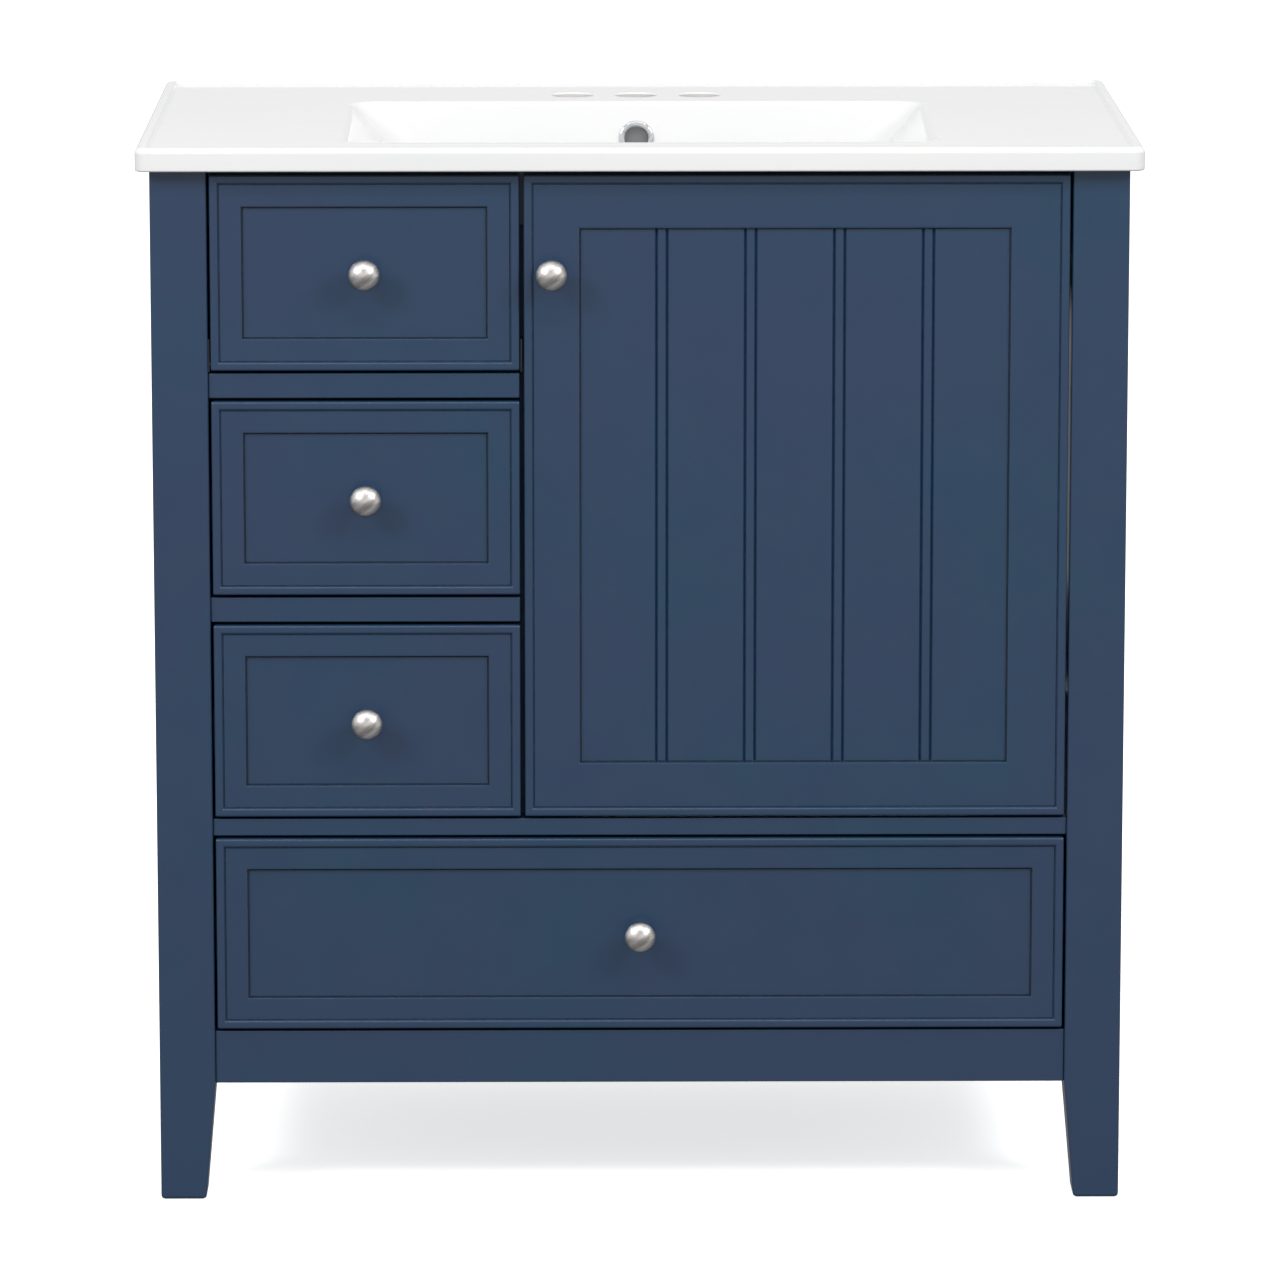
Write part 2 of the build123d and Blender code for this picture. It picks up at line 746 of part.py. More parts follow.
# the hinges' fixed halves: a plate on the batten and an arm that reaches into the cup
arm_outline = [  # how far in from the post's inner face, and back from its front face
    (27.5, 12),
    (19.5, 12),
    (13.5, 22),
    (arm_thickness, 26),
    (arm_thickness, 90),
    (13.5, 90),
    (13.5, 36),
    (21.5, 26),
    (27.5, 18),
]
with BuildPart() as hinge_arms:
    for z in hinge_heights:
        with BuildSketch(Plane.XY.offset(z - arm_height / 2)):
            with BuildLine():
                Polyline(*[(bay - inward, front_y + back) for inward, back in arm_outline], close=True)
            make_face()
        extrude(amount=arm_height)
        block(
            (bay - arm_thickness, post_back + arm_plate_margin, z - arm_plate_half),
            (bay, post_back + hinge_batten_width - arm_plate_margin, z + arm_plate_half),
        )
save(hinge_arms, "hinge_arms")

# pads on the divider's front edge that the door shuts against
bumper_heights = (small_front_bottom + bumper_inset, door_top - bumper_inset)
with BuildPart() as door_bumpers:
    with BuildSketch(facing_front(inside_y)):
        with Locations(*[(divider_right - bumper_edge, z) for z in bumper_heights]):
            Circle(bumper_radius)
    extrude(amount=inside_y - front_back_y - bumper_play)
save(door_bumpers, "door_bumpers")
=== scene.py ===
import json
import math

import bmesh
import bpy
from mathutils import Matrix, Vector


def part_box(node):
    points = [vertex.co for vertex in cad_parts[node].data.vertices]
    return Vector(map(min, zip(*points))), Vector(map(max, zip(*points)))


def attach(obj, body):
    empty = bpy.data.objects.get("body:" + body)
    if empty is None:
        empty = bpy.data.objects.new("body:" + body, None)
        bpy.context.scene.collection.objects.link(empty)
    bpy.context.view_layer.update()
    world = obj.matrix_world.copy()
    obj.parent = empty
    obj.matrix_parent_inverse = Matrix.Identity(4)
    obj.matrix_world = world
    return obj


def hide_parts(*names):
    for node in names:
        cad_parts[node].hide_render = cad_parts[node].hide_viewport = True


# Bathroom vanity cabinet. Metres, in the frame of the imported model: X across, +Y to the wall, +Z up.

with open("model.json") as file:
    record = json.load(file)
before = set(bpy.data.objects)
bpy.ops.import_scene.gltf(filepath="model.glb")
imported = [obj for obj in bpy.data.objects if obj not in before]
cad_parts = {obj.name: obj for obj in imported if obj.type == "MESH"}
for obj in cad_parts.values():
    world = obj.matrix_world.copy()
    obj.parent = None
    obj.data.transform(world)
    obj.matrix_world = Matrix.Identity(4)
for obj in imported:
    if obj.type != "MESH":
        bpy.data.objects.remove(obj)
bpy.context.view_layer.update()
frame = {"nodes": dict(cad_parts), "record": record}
record = frame["record"]
scene = bpy.context.scene

MM = 0.001

# ---- driving values ----
# the fronts' moulding, measured in from the edge and back from the foremost face
front_edge = 0.8 * MM  # rounding of a front's back edge
front_corner = 1.2 * MM  # rounding of a front's four corners, seen from the front
bead_width = 6.5 * MM
bead_height = 1.8 * MM
bead_shoulder = 1.6 * MM
quirk = 0.7 * MM  # depth of the fine groove inside the bead
line_width = 1.2 * MM  # the fine groove at the foot of a recess
line_depth = 1.4 * MM
drawer_frame = 24.0 * MM
panel_drop = 2.5 * MM
recess_edge = 0.5 * MM
least_corner = 0.3 * MM  # a moulding's corners are rounded at least this much
frame_margin = 2.0 * MM  # a ring this far out from a recess keeps the frame round it flat

# the door
panel_tongue = 4.0 * MM
plank_pitch = 67.3 * MM
plank_beads = 4
bead_half = 4.0 * MM
groove_half = 1.3 * MM
groove_depth = 2.2 * MM
groove_ease = 0.3 * MM  # how far a groove's eased edge reaches over a plank
bead_fall = 0.25 * MM  # how far a bead's sides fall from its crown
cup_radius = 17.5 * MM
cup_depth = 11.5 * MM
cup_flange_half = 28.0 * MM  # from a hinge cup's middle to the end of its flange

# posts and boards
foot_size = 35.0 * MM
post_corner = 2.0 * MM
foot_rounding = 3.0 * MM
board_corner = 1.0 * MM
board_ease = 0.5 * MM  # edge rounding of the boards that come over from the CAD
ply_wave = 1850.0  # radians to the metre, so two layers of the plywood take 3.4 mm

# ceramic top
deck_drop = 2.5 * MM  # from the rim down to the deck
rim_width = 10.0 * MM
rim_slope = 3.0 * MM  # the inner part of the rim's width, over which it falls to the deck
deck_margin = 4.0 * MM  # a ring this far in from the rim keeps the deck flat
slab_thickness = 18.0 * MM
slab_corner = 8.0 * MM
slab_inner_corner = 3.0 * MM
slab_rounding = 4.5 * MM
slab_underside_rounding = 1.5 * MM
basin_front_gap = 60.0 * MM  # from the top's front edge to the basin
basin_half_width = 226.5 * MM
basin_half_depth = 134.0 * MM
basin_drop = 126.5 * MM
shoulder_drop = 45.0 * MM
shoulder_half_width = 188.5 * MM
basin_floor_half_width = 166.5 * MM
wall_lean = 16.0 * MM
deck_corner = 28.0 * MM  # corner radii of the basin, from the deck down
mouth_corner = 22.0 * MM
shoulder_corner = 30.0 * MM
floor_corner = 44.0 * MM
floor_inner_corner = 30.0 * MM
fan_corner = 40.0 * MM  # of the outline that the points round the drain line up with
lip_spread = 1.6  # the deck's run starts this many lips outside the basin's mouth
inner_lip = 6.0 * MM  # roundings of the basin's wall, as lengths along its runs
inner_heel = 24.0 * MM
outer_lip = 5.0 * MM
outer_heel = 20.0 * MM
shoulder_rounding = 22.0 * MM
bend_steps = 6
floor_run = 45.0 * MM  # how far the wall's run goes on over the floor
floor_fall = 0.5 * MM  # and how far it falls there
glaze_wall = 11.0 * MM
basin_floor_thickness = 14.0 * MM
dish_depth = 4.0 * MM
drain_radius = 22.5 * MM
drain_rounding = 6.0 * MM
drain_collar = 12.0 * MM
collar_length = 14.0 * MM
collar_chamfer = 1.0 * MM
collar_foot = 3.0 * MM  # the bevel where the collar meets the basin's underside
faucet_back = 375.0 * MM  # from the top's front edge to the faucet holes
faucet_spacing = 50.8 * MM
faucet_radius = 17.0 * MM
faucet_flare = 1.5 * MM
cutter_depth = 60.0 * MM  # well through the slab
cutter_lift = 0.4 * MM  # how far a faucet hole's cutter stands above the deck
cutter_spread = 1.0 * MM  # and how much wider it is there than the flare
cutter_steps = 48
overflow_drop = 29.0 * MM
overflow_radius = 10.5 * MM
overflow_back = 17.0 * MM  # how far the overflow's cutter reaches back and forward of the wall
overflow_front = 6.0 * MM
duct_half_width = 13.0 * MM
duct_depth = 9.0 * MM
duct_setback = 16.0 * MM
duct_wall = 8.0 * MM
duct_corner = 2.0 * MM
duct_drop = 3.0 * MM  # from the basin's underside down to the duct's floor
duct_mouth = 4.0 * MM  # how far the duct opens into the drain
housing_bite = 5.0 * MM  # how far the duct's housing reaches into the basin
housing_setback = 3.0 * MM  # from the back of the basin's mouth to the housing's front, at the slab
slab_bite = 2.0 * MM  # how far the housing reaches up into the slab
clay_margin = 0.5 * MM  # how far above the slab's underside bare clay can be
bore_margin = 0.1 * MM  # faces no further out than this belong to a faucet hole's wall

# the overflow's trim
trim_radius = 14.0 * MM
trim_bore = 9.1 * MM
trim_rounding = 1.5 * MM
trim_edge = 0.5 * MM
sleeve_length = 12.0 * MM
sleeve_gap = 0.2 * MM

# knobs
knob_radius = 12.0 * MM
knob_length = 26.0 * MM
knob_base_radius = 6.5 * MM
knob_base_edge = 0.4 * MM
knob_base_height = 1.2 * MM
neck_radius = 4.7 * MM
neck_length = 14.4 * MM
neck_flare = 2.3 * MM  # how much the neck widens towards the cap
neck_steps = 10
# the cap's underside and rolled rim: mm in from the knob's radius, mm forward of the front's face
cap_rim = ((3.8, 16.2), (1.8, 17.1), (0.8, 17.5), (0.25, 17.95), (0, 18.6), (0.1, 19.3))
dome_radius = 14.0 * MM
dome_reach = 11.6 * MM
dome_steps = 16
tip = 0.1 * MM  # the small flat where a turned end closes

# camera, matched to the picture's viewpoint, its angles in degrees
camera_place = (-0.052, -5.832, 1.500)
camera_down = 10.68
camera_turn = 0.53
camera_lens = 210.7

# light and floor
light_aim = (0, 0, 0.45)
floor_radius = 40.0
floor_glow = 0.66
horizon = (-0.25, 0.05)  # the heights of the directions between which the light from below gives way
zenith = 0.9  # and where it reaches the strength it has from above
frontal = 0.8  # how far towards the front or the wall the light from there is at full strength

# points nearer than this are one point, in the meshes made here and in the CAD's boards
merge_distance = 0.001 * MM
weld_distance = 0.01 * MM

body_of = {
    node: body for body, members in record["behaviour"]["bodies"].items() for node in members
}
slot_of = {part["node"]: part["material_slot"] for part in record["subparts"]}


# ======== material building blocks ========


def new_material(name):
    """A node material and its tree, with its shader."""
    made = bpy.data.materials.new(name)
    made.use_nodes = True
    tree = made.node_tree
    return made, tree, tree.nodes["Principled BSDF"]


def feed(tree, socket, value):
    """Link another node's output to a socket, or set the socket to a constant."""
    if isinstance(value, bpy.types.NodeSocket):
        tree.links.new(value, socket)
    else:
        socket.default_value = value


def add_node(tree, kind, settings=None, **inputs):
    """A node with its settings and inputs, which are numbers or other nodes' outputs."""
    made = tree.nodes.new(kind)
    for key, value in (settings or {}).items():
        setattr(made, key, value)
    for key, value in inputs.items():
        feed(tree, made.inputs[key.replace("_", " ")], value)
    return made


def place(tree, stretch=(1, 1, 1), turn=(0, 0, 0)):
    """The piece's own coordinates, in metres, turned and then stretched."""
    coordinates = add_node(tree, "ShaderNodeTexCoord").outputs["Object"]
    if any(turn):
        angles = tuple(math.radians(angle) for angle in turn)
        turned = add_node(tree, "ShaderNodeMapping", Vector=coordinates, Rotation=angles)
        coordinates = turned.outputs["Vector"]
    return add_node(tree, "ShaderNodeMapping", Vector=coordinates, Scale=stretch).outputs["Vector"]


def noise(tree, scale, stretch=(1, 1, 1), turn=(0, 0, 0), detail=3.0, roughness=0.5, distortion=0.0):
    """Noise from 0 to 1 with this many cells to the metre."""
    made = add_node(
        tree, "ShaderNodeTexNoise", Vector=place(tree, stretch, turn), Scale=scale,
        Detail=detail, Roughness=roughness, Distortion=distortion,
    )
    return made.outputs["Fac"]


def spread(tree, value, from_low, from_high, low, high):
    """A value's range moved and stretched to another, clamped."""
    made = add_node(tree, "ShaderNodeMapRange", Value=value)
    for key, number in (
        ("From Min", from_low), ("From Max", from_high), ("To Min", low), ("To Max", high)
    ):
        made.inputs[key].default_value = number
    return made.outputs["Result"]


def maths(tree, operation, *values):
    """One arithmetic step."""
    made = add_node(tree, "ShaderNodeMath", {"operation": operation})
    for socket, value in zip(made.inputs, values):
        feed(tree, socket, value)
    return made.outputs[0]


def mix_colours(tree, share, first, second):
    """Two colours mixed by a node's output from 0 to 1."""
    made = add_node(tree, "ShaderNodeMix", {"data_type": "RGBA"})
    factor, colour_a, colour_b = (made.inputs[i] for i in (0, 6, 7))  # several sockets share a name
    feed(tree, factor, share)
    for socket, colour in ((colour_a, first), (colour_b, second)):
        feed(tree, socket, (*colour, 1.0) if isinstance(colour, tuple) else colour)
    return made.outputs[2]


def bump(tree, height, distance, under=None):
    """A bump from a height, on top of another bump if one is given."""
    made = add_node(tree, "ShaderNodeBump", Height=height, Distance=distance)
    if under:
        tree.links.new(under, made.inputs["Normal"])
    return made.outputs["Normal"]


def edge_mask(tree, radius):
    """1 on convex and concave edges and 0 on flat faces."""
    rounded = add_node(tree, "ShaderNodeBevel", {"samples": 4}, Radius=radius)
    geometry = add_node(tree, "ShaderNodeNewGeometry")
    along = add_node(tree, "ShaderNodeVectorMath", {"operation": "DOT_PRODUCT"})
    tree.links.new(rounded.outputs["Normal"], along.inputs[0])
    tree.links.new(geometry.outputs["Normal"], along.inputs[1])
    return spread(tree, along.outputs["Value"], 0.80, 0.995, 1.0, 0.0)


def dress(tree, shader, colour, roughness, normal):
    """Link what the shader takes from nodes."""
    tree.links.new(colour, shader.inputs["Base Color"])
    tree.links.new(roughness, shader.inputs["Roughness"])
    tree.links.new(normal, shader.inputs["Normal"])


# ======== materials ========


def sprayed_paint(name, cool, warm, edge, gloss, peel):
    """Sprayed paint over board: two close tones in soft patches, orange peel and rubbed edges.

    The peel's height is in millimetres.
    """
    made, tree, shader = new_material(name)
    patches = spread(tree, noise(tree, 5.0, detail=2.0), 0.35, 0.65, 0.0, 1.0)
    mottle = spread(tree, noise(tree, 70.0), 0.3, 0.7, 0.0, 0.35)
    colour = mix_colours(tree, maths(tree, "ADD", patches, mottle), cool, warm)
    specks = spread(tree, noise(tree, 260.0, detail=5.0), 0.42, 0.62, 0.1, 1.0)
    worn = maths(tree, "MULTIPLY", edge_mask(tree, 0.9 * MM), specks)
    colour = mix_colours(tree, maths(tree, "MULTIPLY", worn, 0.5), colour, edge)
    haze = noise(tree, 25.0, detail=4.0)
    roughness = spread(tree, haze, 0.3, 0.7, gloss - 0.04, gloss + 0.05)
    grain = noise(tree, 40.0, stretch=(6, 6, 0.35), detail=4.0)
    fibres = bump(tree, grain, 0.05 * MM)
    orange_peel = bump(tree, noise(tree, 420.0, detail=2.0), peel * MM, under=fibres)
    dress(tree, shader, colour, roughness, orange_peel)
    return made


def glazed_ceramic(name):
    """Gloss white glaze: a little waviness, a faint cool and warm drift and pin specks."""
    made, tree, shader = new_material(name)
    drift = spread(tree, noise(tree, 4.0, detail=2.0), 0.35, 0.65, 0.0, 1.0)
    colour = mix_colours(tree, drift, (0.632, 0.638, 0.642), (0.652, 0.652, 0.648))
    pins = spread(tree, noise(tree, 900.0, detail=1.0), 0.80, 0.86, 0.0, 0.35)
    colour = mix_colours(tree, pins, colour, (0.62, 0.60, 0.56))
    roughness = spread(tree, noise(tree, 30.0), 0.3, 0.7, 0.085, 0.115)
    waves = bump(tree, noise(tree, 14.0, detail=1.0), 0.012 * MM)
    dimples = bump(tree, noise(tree, 300.0, detail=2.0), 0.003 * MM, under=waves)
    dress(tree, shader, colour, roughness, dimples)
    shader.inputs["Coat Weight"].default_value = 0.4
    shader.inputs["Coat Roughness"].default_value = 0.04
    return made


def unglazed_clay(name):
    """The bare fired clay under the top, also laid on the faucet holes' walls as painted shade."""
    made, tree, shader = new_material(name)
    blotches = spread(tree, noise(tree, 22.0, detail=5.0), 0.3, 0.7, 0.0, 1.0)
    colour = mix_colours(tree, blotches, (0.60, 0.585, 0.56), (0.50, 0.485, 0.46))
    roughness = spread(tree, noise(tree, 60.0), 0.3, 0.7, 0.75, 0.92)
    grit = bump(tree, noise(tree, 700.0, detail=4.0), 0.12 * MM)
    dress(tree, shader, colour, roughness, grit)
    return made


def brushed_metal(name, light, dark, gloss, turn, lines, depth):
    """Metal brushed in one direction: long thin streaks in colour, gloss and height; where the two tones
    lie far apart, the colour streaks are painted highlight and shade streaks as well as grain.

    The lines are to the metre and the depth is in millimetres.
    """
    made, tree, shader = new_material(name)
    stretch = (0.07, 0.4, 1)
    wide_noise = noise(tree, lines * 0.22, stretch, turn)
    fine_noise = noise(tree, lines, stretch, turn, detail=5.0, roughness=0.7)
    wide = maths(tree, "MULTIPLY", spread(tree, wide_noise, 0.32, 0.68, 0.0, 1.0), 0.6)
    fine = maths(tree, "MULTIPLY", spread(tree, fine_noise, 0.3, 0.7, 0.0, 1.0), 0.4)
    grain_and_glint_streaks = maths(tree, "ADD", wide, fine)
    # colour: the brushed grain's tone, and with far-apart tones also painted highlight and shade streaks
    colour = mix_colours(tree, grain_and_glint_streaks, dark, light)
    roughness = spread(tree, grain_and_glint_streaks, 0.2, 0.8, gloss + 0.08, gloss - 0.05)
    scratches = bump(tree, grain_and_glint_streaks, depth * MM)
    dress(tree, shader, colour, roughness, scratches)
    shader.inputs["Metallic"].default_value = 1.0
    return made


def polished_chrome(name):
    """Polished chrome with faint water marks."""
    made, tree, shader = new_material(name)
    marks = spread(tree, noise(tree, 160.0, detail=4.0), 0.5, 0.7, 0.0, 1.0)
    colour = mix_colours(tree, marks, (0.62, 0.63, 0.65), (0.50, 0.51, 0.52))
    roughness = spread(tree, marks, 0.0, 1.0, 0.08, 0.22)
    ripple = bump(tree, noise(tree, 120.0, detail=1.0), 0.02 * MM)
    dress(tree, shader, colour, roughness, ripple)
    shader.inputs["Metallic"].default_value = 1.0
    return made


def zinc_plate(name, scale):
    """Zinc plated steel: angular spangle in tone and gloss."""
    made, tree, shader = new_material(name)
    cells = add_node(tree, "ShaderNodeTexVoronoi", Vector=place(tree), Scale=scale)
    tone = add_node(tree, "ShaderNodeSeparateColor", Color=cells.outputs["Color"]).outputs["Red"]
    cloud = noise(tree, scale * 0.3, detail=4.0)
    share = maths(tree, "MULTIPLY", maths(tree, "ADD", tone, cloud), 0.5)
    colour = mix_colours(tree, share, (0.42, 0.44, 0.47), (0.62, 0.63, 0.64))
    roughness = spread(tree, share, 0.2, 0.8, 0.42, 0.28)
    rolled = bump(tree, noise(tree, 500.0, (1, 0.05, 1), detail=4.0), 0.01 * MM)
    dress(tree, shader, colour, roughness, rolled)
    shader.inputs["Metallic"].default_value = 1.0
    return made


def plywood(name, layer_axis):
    """Birch plywood: grain along its faces, and its layers, stacked along an axis, where it is cut."""
    made, tree, shader = new_material(name)
    along = (0.08, 1, 1) if layer_axis == "Y" else (1, 0.08, 1)
    rings = noise(tree, 55.0, along, detail=6.0, roughness=0.6, distortion=0.6)
    colour = mix_colours(
        tree, spread(tree, rings, 0.35, 0.65, 0.0, 1.0), (0.60, 0.43, 0.26), (0.74, 0.58, 0.39)
    )
    pores = spread(tree, noise(tree, 520.0, along, detail=3.0), 0.62, 0.72, 0.0, 0.6)
    colour = mix_colours(tree, pores, colour, (0.36, 0.23, 0.12))
    depth = add_node(tree, "ShaderNodeSeparateXYZ", Vector=place(tree)).outputs[layer_axis]
    layers = maths(tree, "SINE", maths(tree, "MULTIPLY", depth, ply_wave))
    layered = mix_colours(
        tree, spread(tree, layers, -0.4, 0.4, 0.0, 1.0), (0.33, 0.20, 0.10), (0.70, 0.54, 0.35)
    )
    normal = add_node(tree, "ShaderNodeTexCoord").outputs["Normal"]
    facing = add_node(tree, "ShaderNodeSeparateXYZ", Vector=normal).outputs[layer_axis]
    cut_edge = spread(tree, maths(tree, "ABSOLUTE", facing), 0.3, 0.5, 1.0, 0.0)
    colour = mix_colours(tree, cut_edge, colour, layered)
    roughness = spread(tree, rings, 0.3, 0.7, 0.42, 0.56)
    raised = bump(tree, noise(tree, 300.0, along, detail=4.0), 0.05 * MM)
    dress(tree, shader, colour, roughness, raised)
    return made


def moulded_plastic(name, pale, shade, gloss, texture):
    """Moulded plastic or rubber with faint flow marks and a texture, its height in millimetres."""
    made, tree, shader = new_material(name)
    flow = spread(tree, noise(tree, 12.0, (1, 1, 3), detail=3.0), 0.3, 0.7, 0.0, 1.0)
    colour = mix_colours(tree, flow, pale, shade)
    roughness = spread(tree, noise(tree, 90.0), 0.3, 0.7, gloss - 0.05, gloss + 0.06)
    stipple = bump(tree, noise(tree, 1100.0, detail=3.0), texture * MM)
    dress(tree, shader, colour, roughness, stipple)
    return made


navy_cool = (0.0085, 0.0365, 0.0765)
navy_warm = (0.0140, 0.0330, 0.0765)
navy_edge = (0.075, 0.120, 0.190)
materials = {
    "navy_paint": sprayed_paint("navy_paint", navy_cool, navy_warm, navy_edge, gloss=0.32, peel=0.010),
    "inside_board": sprayed_paint("inside_board", navy_warm, navy_cool, navy_edge, gloss=0.62, peel=0.05),
    "white_glaze": glazed_ceramic("white_glaze"),
    "chrome": polished_chrome("chrome"),
    # the nickel's wide span from dark to pale paints highlight and shade streaks into the knobs' colour,
    # over their real brushed grain
    "brushed_nickel": brushed_metal(
        "brushed_nickel", light=(0.90, 0.88, 0.86), dark=(0.17, 0.15, 0.14), gloss=0.33,
        turn=(0, 38, 0), lines=800.0, depth=0.12,
    ),
    "screw_steel": brushed_metal(
        "screw_steel", light=(0.60, 0.60, 0.62), dark=(0.40, 0.40, 0.42), gloss=0.34,
        turn=(0, 0, 0), lines=1500.0, depth=0.02,
    ),
    "zinc_steel": zinc_plate("zinc_steel", scale=260.0),
    "black_steel": brushed_metal(
        "black_steel", light=(0.060, 0.060, 0.065), dark=(0.025, 0.025, 0.028), gloss=0.45,
        turn=(0, 90, 0), lines=800.0, depth=0.02,
    ),
    "pale_plywood": plywood("plywood_side", "X"),
    "white_plastic": moulded_plastic(
        "white_plastic", pale=(0.74, 0.74, 0.71), shade=(0.68, 0.68, 0.66), gloss=0.42, texture=0.02
    ),
    "clear_rubber": moulded_plastic(
        "clear_rubber", pale=(0.48, 0.50, 0.50), shade=(0.40, 0.42, 0.43), gloss=0.34, texture=0.01
    ),
}
plywood_of = {"back": plywood("plywood_back", "Y"), "base": plywood("plywood_base", "Z")}
# real bare clay for the underside, and painted shade on the faucet holes' walls
clay_and_bore_shade = unglazed_clay("unglazed_clay")


# ======== mesh building blocks ========


def rounded_rectangle(low, high, radius, corner_steps, side_steps=(1, 1)):
    """Points round a rounded rectangle, from the foot of its right side."""
    middles = (
        (high[0] - radius, low[1] + radius),
        (high[0] - radius, high[1] - radius),
        (low[0] + radius, high[1] - radius),
        (low[0] + radius, low[1] + radius),
    )
    corners = []
    for turn, middle in enumerate(middles):
        start = 90 * (turn - 1)
        arc = quarter(middle, radius, start, start + 90, corner_steps)
        corners.append([Vector(point) for point in arc])
    outline = []
    for turn, corner in enumerate(corners):
        outline += corner
        steps = side_steps[(turn + 1) % 2]
        ahead = corners[(turn + 1) % 4][0]
        outline += [corner[-1].lerp(ahead, step / steps) for step in range(1, steps)]
    return outline


def quarter(middle, radius, start, end, steps):
    """Points on an arc between two angles in degrees."""
    angles = [math.radians(start + (end - start) * step / steps) for step in range(steps + 1)]
    return [
        (middle[0] + radius * math.cos(angle), middle[1] + radius * math.sin(angle)) for angle in angles
    ]


def skin(rings, closed=False):
    """A mesh over rings of equal length, closed on itself or capped at both ends."""
    made = bmesh.new()
    rows = [[made.verts.new(point) for point in ring] for ring in rings]
    pairs = list(zip(rows, rows[1:]))
    if closed:
        pairs.append((rows[-1], rows[0]))
    for near, far in pairs:
        for i in range(len(near)):
            j = (i + 1) % len(near)
            made.faces.new((near[i], near[j], far[j], far[i]))
    if not closed:
        made.faces.new(reversed(rows[0]))
        made.faces.new(rows[-1])
    return made


def to_object(name, made):
    """A bmesh as an object, its doubled points merged and its normals outwards."""
    bmesh.ops.remove_doubles(made, verts=made.verts, dist=merge_distance)
    bmesh.ops.recalc_face_normals(made, faces=made.faces)
    mesh = bpy.data.meshes.new(name)
    made.to_mesh(mesh)
    made.free()
    piece = bpy.data.objects.new(name, mesh)
    scene.collection.objects.link(piece)
    return piece


def combine(piece, helper, operation):
    """Cut or join a piece with a closed helper mesh, which is then removed."""
    step = piece.modifiers.new("combine", "BOOLEAN")
    step.operation = operation
    step.solver = "EXACT"
    step.object = helper
    bpy.context.view_layer.update()
    evaluated = piece.evaluated_get(bpy.context.evaluated_depsgraph_get())
    shaped = bpy.data.meshes.new_from_object(evaluated)
    piece.modifiers.clear()
    piece.data = shaped
    shaped.name = piece.name
    bpy.data.objects.remove(helper)


def shade(piece, angle):
    """Smooth shading that stays crisp where faces meet at more than an angle, and flat on wide faces."""
    mesh = piece.data
    mesh.polygons.foreach_set("use_smooth", [True] * len(mesh.polygons))
    mesh.set_sharp_from_angle(angle=math.radians(angle))
    weighted = piece.modifiers.new("flat faces stay flat", "WEIGHTED_NORMAL")
    weighted.keep_sharp = True
    weighted.weight = 80


def stand_for(piece, node, angle=35.0):
    """The piece takes a CAD node's place: its body, its slot and its material."""
    piece.data.materials.clear()
    piece.data.materials.append(materials[slot_of[node]])
    shade(piece, angle)
    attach(piece, body_of[node])
    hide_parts(node)


def lathe(profile, steps=64):
    """Rings of a turned piece along -Y, from (radius, distance forward) pairs."""
    return [
        [
            Vector((radius * math.cos(a), -forward, radius * math.sin(a)))
            for a in [math.tau * step / steps for step in range(steps)]
        ]
        for radius, forward in profile
    ]


# ======== posts, rails and side panels ========


def shape_post(node):
    """A post with eased corners that tapers on its two inner sides down to a rounded foot."""
    low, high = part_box(node)
    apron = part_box("front_bottom_rail")[0].z
    sign_x = 1 if low.x > 0 else -1
    sign_y = 1 if low.y > 0 else -1
    outer_x = high.x if sign_x > 0 else low.x
    outer_y = high.y if sign_y > 0 else low.y
    post_size = high.x - low.x
    slope = (post_size - foot_size) / apron
    foot = quarter((foot_rounding, foot_rounding), foot_rounding, 270, 180, 4)
    stations = [(inset, height, foot_size + slope * height) for inset, height in foot]
    stations += [(0, apron, post_size), (0, high.z, post_size)]
    rings = []
    for inset, height, size in stations:
        inner_x = outer_x - sign_x * size
        inner_y = outer_y - sign_y * size
        across = sorted((outer_x, inner_x))
        along = sorted((outer_y, inner_y))
        outline = rounded_rectangle(
            (across[0] + inset, along[0] + inset), (across[1] - inset, along[1] - inset), post_corner, 5
        )
        rings.append([(point.x, point.y, low.z + height) for point in outline])
    stand_for(to_object(f"{node}_shaped", skin(rings)), node)


def shape_board(node):
    """A board with rounded edges all round, the size of its CAD node."""
    low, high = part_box(node)
    rings = []
    for inset, back in (
        *quarter((board_corner, board_corner), board_corner, 270, 180, 3),
        *quarter((board_corner, high.y - low.y - board_corner), board_corner, 180, 90, 3),
    ):
        outline = rounded_rectangle(
            (low.x + inset, low.z + inset), (high.x - inset, high.z - inset), board_corner, 3
        )
        rings.append([(point.x, low.y + back, point.y) for point in outline])
    stand_for(to_object(f"{node}_shaped", skin(rings)), node)


for post in ("left_front_post", "right_front_post", "left_rear_post", "right_rear_post"):
    shape_post(post)
for board in (
    "front_bottom_rail", "middle_rail", "lower_drawer_rail", "upper_drawer_rail", "front_top_rail",
    "rear_bottom_rail", "left_side_panel", "right_side_panel",
):
    shape_board(board)

# ======== drawer fronts, flap and door ========

# the fine groove at the foot of a recess, as (across, down) pairs from the recess's side
shadow_line = (
    (0, line_depth),
    (0.8 * line_width, line_depth),
    (0.95 * line_width, 0.3 * line_depth),
    (1.1 * line_width, 0),
)


def moulding():
    """(inset, depth) pairs from a front's back edge, over its bead and down to its flat frame."""
    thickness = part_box("flap_front")[1].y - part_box("flap_front")[0].y
    return [
        *quarter((front_edge, thickness - front_edge), front_edge, 90, 180, 3),
        *quarter((bead_shoulder, bead_shoulder), bead_shoulder, 180, 270, 6),
        (bead_width / 2, 0),
        *quarter((bead_width - bead_shoulder, bead_shoulder), bead_shoulder, 270, 360, 6),
        (bead_width, bead_height + 0.6 * quirk),
        (bead_width + 0.3 * quirk, bead_height + quirk),
        (bead_width + 0.8 * quirk, bead_height + quirk),
        (bead_width + 1.1 * quirk, bead_height + 0.4 * quirk),
        (bead_width + 1.5 * quirk, bead_height),
        (bead_width + 3 * quirk, bead_height),
    ]


